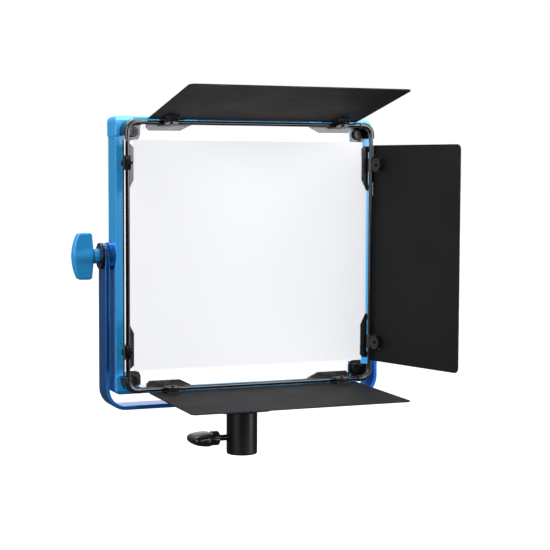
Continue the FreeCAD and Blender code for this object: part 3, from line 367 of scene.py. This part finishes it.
def rounded_ring(half_u, half_v, radius, flats=4, arcs=6):
    """Rounded rectangle about the origin as (u, v) points, with extra points on its flats."""
    radius = min(radius, half_u * 0.95, half_v * 0.95)
    points = []
    for su, sv, start in ((1, 1, 0), (-1, 1, 90), (-1, -1, 180), (1, -1, 270)):
        cu, cv = su * (half_u - radius), sv * (half_v - radius)
        for k in range(arcs + 1):
            angle = math.radians(start + 90 * k / arcs)
            points.append((cu + radius * math.cos(angle), cv + radius * math.sin(angle)))
    filled = []
    for k, (u, v) in enumerate(points):
        filled.append((u, v))
        if (k + 1) % (arcs + 1) == 0:
            next_u, next_v = points[(k + 1) % len(points)]
            for j in range(1, flats):
                t = j / flats
                filled.append((u + (next_u - u) * t, v + (next_v - v) * t))
    return filled


def bounded(value):
    return min(1.0, max(0.0, value))


def eased_steps(count):
    """-1 to 1 in count steps that shorten towards both ends."""
    return [-math.cos(math.pi * k / count) for k in range(count + 1)]


def end_inset(distance, half, radius):
    """How far an outline rounded by radius draws in at a distance from the middle."""
    over = max(0.0, distance - (half - radius))
    return radius - math.sqrt(max(0.0, radius ** 2 - over ** 2))


def soft_sign(value, power):
    """Signed power, which rounds a section between a box (0) and an ellipse (1)."""
    return math.copysign(abs(value) ** power, value)


def smooth_max(a, b, k):
    return (a + b + math.sqrt((a - b) ** 2 + k * k)) / 2


# ---- tilt knobs: mm, outwards from the washer ----------------------------------------
KNOB_STEM, KNOB_STEM_R = 6.2, 7.1
KNOB_HALF_DEPTH, KNOB_TIP_THINNER = 5.4, 0.12
KNOB_TIP_DROP = 5.1               # how far the outer edge falls back from apex to tips
KNOB_LEAN, KNOB_LEAN_FROM = 1.2, 6.0    # inner edge: outward lean, starting this far from the axis
KNOB_END_ROUND, KNOB_EDGE_R = 2.2, 2.0
KNOB_HUB_R, KNOB_HUB_FADE, KNOB_HUB_FADE_POWER, KNOB_HUB_BLEND = 8.4, 3.2, 1.4, 1.2
KNOB_RINGS = 60
KNOB_STEM_PROFILE = [
    (0.0, KNOB_STEM_R - 0.5), (0.15, KNOB_STEM_R - 0.15), (0.5, KNOB_STEM_R),
    (KNOB_STEM - 0.8, KNOB_STEM_R), (KNOB_STEM - 0.4, KNOB_STEM_R - 0.25),
    (KNOB_STEM + 0.4, KNOB_STEM_R - 0.25), (KNOB_STEM + 3.0, KNOB_STEM_R - 0.3)]


def tilt_knob(side, material):
    """Two-winged knob whose round hub swells out of its flat sides and fades to the apex."""
    name = "right" if side > 0 else "left"
    low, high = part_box(f"knob_{name}")
    apex = (high.x - low.x) / MM - KNOB_STEM
    span = (high.z - low.z) / 2 / MM
    centre = Vector((low.x if side > 0 else high.x, 0, PIVOT.z))
    rings = []
    for t in eased_steps(KNOB_RINGS):
        z = t * span
        inset = end_inset(abs(z), span, KNOB_END_ROUND)
        lean = KNOB_LEAN * bounded((abs(z) - KNOB_LEAN_FROM) / (span - KNOB_LEAN_FROM))
        inner, outer = lean + inset, apex - KNOB_TIP_DROP * t * t - inset
        middle, half = (inner + outer) / 2, (outer - inner) / 2
        depth = KNOB_HALF_DEPTH * (1 - KNOB_TIP_THINNER * t * t) - inset
        ring = []
        for u, v in rounded_ring(half, depth, KNOB_EDGE_R):
            along = middle + u
            hub = KNOB_HUB_R - KNOB_HUB_FADE * (along / apex) ** KNOB_HUB_FADE_POWER
            swell = math.sqrt(max(0.0, hub * hub - z * z))
            y = v / depth * smooth_max(depth, swell, KNOB_HUB_BLEND)
            ring.append(centre + Vector((side * (KNOB_STEM + along), y, z)) * MM)
        rings.append(ring)
    bm = bmesh.new()
    skin(bm, rings)
    lathe(bm, KNOB_STEM_PROFILE, centre, (side, 0, 0), 64)
    piece = piece_from(f"tilt_knob_{name}_grip", bm, material, f"tilt_knob_{name}", 40.0)
    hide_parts(f"knob_{name}")


# ---- stand lock handle: mm, outwards from the socket -----------------------------------
WING_HUB_LENGTH, WING_HUB_GAP = 9.0, 0.4      # the gap is left round the hub in the CAD box
WING_ROOT_IN_HUB = 2.5
WING_END_ROUND = 4.2
# Past a share of the half span, the edge near the hub draws out to form the shoulders.
WING_SHOULDER, WING_SHOULDER_FROM = 5.5, 0.45
WING_TIP_DROP = 2.2
WING_THICK, WING_THINS, WING_THINS_POWER, WING_TIP_THINNER = 7.4, 3.0, 1.6, 0.22
WING_ROUND_ALONG, WING_ROUND_THICK = 0.55, 0.7   # powers of the section's curve
WING_RINGS, WING_POINTS = 48, 40
RIB_DEPTH, RIB_PITCH, RIB_WIDTH, RIB_STEPS = 0.35, 6, 2, 72


def lock_wing(material):
    """Moulded wing handle: ribbed hub, then a waisted wing that thins towards its end."""
    low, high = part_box("lock_handle")
    centre = Vector((high.x, 0, (low.z + high.z) / 2))
    hub_r = (high.z - low.z) / 2 / MM - WING_HUB_GAP
    reach = (high.x - low.x) / MM
    half_span = (high.y - low.y) / 2 / MM
    root = WING_HUB_LENGTH - WING_ROOT_IN_HUB
    rings = []
    for t in eased_steps(WING_RINGS):
        y = t * half_span
        inset = end_inset(abs(y), half_span, WING_END_ROUND)
        drawn = max(0.0, abs(t) - WING_SHOULDER_FROM) / (1 - WING_SHOULDER_FROM)
        near = root + WING_SHOULDER * drawn + inset
        far = reach - WING_TIP_DROP * abs(t) ** 3 - inset
        middle, half = (near + far) / 2, (far - near) / 2
        ring = []
        for step in range(WING_POINTS):
            angle = 2 * math.pi * step / WING_POINTS
            along = middle + half * soft_sign(math.cos(angle), WING_ROUND_ALONG)
            run = bounded((along - root) / (reach - root))
            thick = WING_THICK - WING_THINS * run ** WING_THINS_POWER
            thick = thick * (1 - WING_TIP_THINNER * t * t) - inset
            z = thick * soft_sign(math.sin(angle), WING_ROUND_THICK)
            ring.append(centre + Vector((-along, y, z)) * MM)
        rings.append(ring)
    bm = bmesh.new()
    skin(bm, rings)
    length = WING_HUB_LENGTH
    profile = [(0.0, hub_r - 1.4), (0.5, hub_r - 0.4), (1.2, hub_r), (length - 1.2, hub_r),
               (length - 0.4, hub_r - 0.5), (length, hub_r - 1.3)]
    lathe(bm, profile, centre, (-1, 0, 0), RIB_STEPS,
          lambda k: RIB_DEPTH if k % RIB_PITCH < RIB_WIDTH else 0.0)
    piece = piece_from("stand_lock_wing", bm, material, "lock_grip", 38.0)
    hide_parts("lock_handle")


# ---- printed marks on the back ---------------------------------------------------------
INK_UNDER = 0.02 * MM             # how far ink starts below the face it is printed on
TICKS, TICK_FIRST, TICK_STEP = 11, -150, 30      # degrees from the top of the dial
TICK_GAP, TICK_HALF_WIDTH, TICK_PROUD = 1.4 * MM, 0.25 * MM, 0.06 * MM
TICK_LONG, TICK_SHORT, LONG_EVERY = 3.4 * MM, 2.4 * MM, 5
BARS, BAR_GAP, BAR_PROUD = 7, 1.3 * MM, 0.03 * MM
BARS_LEFT, BARS_WIDTH, BARS_FOOT = 0.19, 0.62, 0.28      # shares of the display window
BAR_TALLEST, BAR_STEP = 0.44, 0.05


def dial_marks(node, material):
    """Raised printed ticks round a dial, longer at both ends and in the middle."""
    low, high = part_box(node)
    face_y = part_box("rear_housing")[1].y
    near = (high.x - low.x) / 2 + TICK_GAP
    bm = bmesh.new()
    for k in range(TICKS):
        angle = math.radians(TICK_FIRST + TICK_STEP * k)
        outward = Vector((math.sin(angle), 0, math.cos(angle)))
        across = Vector((math.cos(angle), 0, -math.sin(angle))) * TICK_HALF_WIDTH
        far = near + (TICK_LONG if k % LONG_EVERY == 0 else TICK_SHORT)
        rings = []
        for y in (face_y - INK_UNDER, face_y + TICK_PROUD):
            base = Vector(((low.x + high.x) / 2, y, (low.z + high.z) / 2))
            rings.append([base + outward * near - across, base + outward * far - across,
                          base + outward * far + across, base + outward * near + across])
        skin(bm, rings)
    piece_from(f"{node}_marks", bm, material, "head", 30.0)


def display_bars(material):
    """Row of level bars on the display's face, rising to the right seen from behind."""
    low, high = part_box("display_window")
    wide, tall = high.x - low.x, high.z - low.z
    width = wide * BARS_WIDTH / BARS - BAR_GAP
    foot = low.z + tall * BARS_FOOT
    bm = bmesh.new()
    for k in range(BARS):
        x = low.x + wide * BARS_LEFT + k * (width + BAR_GAP)
        top = foot + tall * (BAR_TALLEST - BAR_STEP * k)
        corners = [(x, foot), (x + width, foot), (x + width, top), (x, top)]
        skin(bm, [[Vector((u, y, v)) for u, v in corners]
                  for y in (high.y - INK_UNDER, high.y + BAR_PROUD)])
    piece_from("display_bars", bm, material, "head", 30.0)


# ---- camera, lights, floor ------------------------------------------------------------
CAMERA_PLACE = Vector((-0.5343, -1.3721, 0.2809))
CAMERA_YAW, CAMERA_PITCH, CAMERA_ROLL = 22.522, 4.065, 0.236
CAMERA_LENS, CAMERA_SENSOR = 98.75, 36.0
CAMERA_NEAR, CAMERA_FAR = 0.05, 50.0

# Name, azimuth (0 in front of the lit side, positive to the right), elevation, distance
# from the pivot, size, power, colour.
SOFTBOXES = [
    ("key", 33, 18, 1.35, (1.25, 0.85), 19.0, (1, 1, 1)),
    ("fill", -60, 14, 1.6, (0.9, 1.2), 13.5, (0.97, 0.985, 1.0)),
    ("rear", 208, 52, 1.5, (1.3, 0.8), 16.0, (1, 1, 1)),
    ("top", 55, 74, 1.2, (1.0, 0.8), 13.5, (1, 1, 1)),
    ("kicker", 52, -12, 1.4, (0.3, 0.6), 2.5, (1, 1, 1)),
    ("backdrop", 157.5, 0, 2.4, (1.3, 1.6), 6.0, (1, 1, 1)),
]
ROOM_COLOUR = (0.93, 0.96, 1.0, 1)
ROOM_FROM, ROOM_TO = -0.25, 0.6   # heights of the view direction where the room's light changes
ROOM_LOW, ROOM_HIGH = 0.07, 0.40  # its strength below and above
FLOOR_LEVEL, FLOOR_HALF = -0.45, 40.0
FLOOR_DARK, FLOOR_LIGHT, FLOOR_GLOW = (0.92, 0.92, 0.92, 1), (0.96, 0.96, 0.96, 1), 0.85


def make_camera():
    data = bpy.data.cameras.new("camera")
    data.lens, data.sensor_width = CAMERA_LENS, CAMERA_SENSOR
    data.clip_start, data.clip_end = CAMERA_NEAR, CAMERA_FAR
    camera = bpy.data.objects.new("camera", data)
    yaw, pitch, roll = (math.radians(a) for a in (CAMERA_YAW, CAMERA_PITCH, CAMERA_ROLL))
    turn = (Matrix.Rotation(-yaw, 3, "Z") @ Matrix.Rotation(math.pi / 2 - pitch, 3, "X")
            @ Matrix.Rotation(roll, 3, "Z"))
    camera.matrix_world = Matrix.Translation(CAMERA_PLACE) @ turn.to_4x4()
    bpy.context.scene.collection.objects.link(camera)
    bpy.context.scene.camera = camera


def softbox(name, azimuth, elevation, distance, size, power, colour):
    """Area light aimed at the head's pivot, unseen by the camera."""
    a, e = math.radians(azimuth), math.radians(elevation)
    away = Vector((math.sin(a) * math.cos(e), -math.cos(a) * math.cos(e), math.sin(e)))
    data = bpy.data.lights.new(name, "AREA")
    data.shape = "RECTANGLE"
    data.size, data.size_y = size
    data.energy = power
    data.color = colour
    light = bpy.data.objects.new(name, data)
    light.location = PIVOT + away * distance
    light.rotation_mode = "QUATERNION"
    light.rotation_quaternion = away.to_track_quat("Z", "Y")
    light.visible_camera = False
    bpy.context.scene.collection.objects.link(light)


def make_world():
    """White to the camera, a dimmer neutral room to everything else."""
    world = bpy.data.worlds.new("studio")
    bpy.context.scene.world = world
    world.use_nodes = True
    tree = world.node_tree
    tree.nodes.clear()
    where = tree.nodes.new("ShaderNodeTexCoord")
    split = tree.nodes.new("ShaderNodeSeparateXYZ")
    rise = tree.nodes.new("ShaderNodeMapRange")
    rise.interpolation_type = "SMOOTHSTEP"
    for index, value in enumerate((ROOM_FROM, ROOM_TO, ROOM_LOW, ROOM_HIGH), start=1):
        rise.inputs[index].default_value = value
    room = tree.nodes.new("ShaderNodeBackground")
    room.inputs["Color"].default_value = ROOM_COLOUR
    seen = tree.nodes.new("ShaderNodeBackground")
    seen.inputs["Color"].default_value = WHITE
    path = tree.nodes.new("ShaderNodeLightPath")
    mix = tree.nodes.new("ShaderNodeMixShader")
    out = tree.nodes.new("ShaderNodeOutputWorld")
    for source, target in (
            (where.outputs["Generated"], split.inputs[0]),
            (split.outputs["Z"], rise.inputs[0]),
            (rise.outputs[0], room.inputs["Strength"]),
            (path.outputs["Is Camera Ray"], mix.inputs[0]),
            (room.outputs[0], mix.inputs[1]),
            (seen.outputs[0], mix.inputs[2]),
            (mix.outputs[0], out.inputs["Surface"])):
        tree.links.new(source, target)


def make_floor():
    """Pale studio floor, well below the head as on a light stand."""
    bm = bmesh.new()
    bm.faces.new([bm.verts.new((x * FLOOR_HALF, y * FLOOR_HALF, FLOOR_LEVEL))
                  for x, y in ((-1, -1), (1, -1), (1, 1), (-1, 1))])
    mesh = bpy.data.meshes.new("floor")
    bm.to_mesh(mesh)
    bm.free()
    n = Nodes("floor_white")
    n.surface(Base_Color=n.mix(n.noise(3.0), FLOOR_DARK, FLOOR_LIGHT), Roughness=0.9,
              Emission_Color=WHITE, Emission_Strength=FLOOR_GLOW)
    mesh.materials.append(n.material)
    floor = bpy.data.objects.new("floor", mesh)
    floor.visible_glossy = False
    floor.visible_diffuse = False
    bpy.context.scene.collection.objects.link(floor)


def make_studio():
    make_world()
    make_floor()
    for values in SOFTBOXES:
        softbox(*values)
    settings = bpy.context.scene.view_settings
    settings.view_transform = "Standard"
    settings.look = "None"


materials = make_materials()
dress_nodes(materials)
for side in (1, -1):
    tilt_knob(side, materials["blue_plastic"])
lock_wing(materials["handle_black"])
for dial in ("brightness_dial", "colour_dial"):
    dial_marks(dial, materials["white_board"])
display_bars(materials["lit_bars"])
make_camera()
make_studio()

bpy.context.view_layer.update()
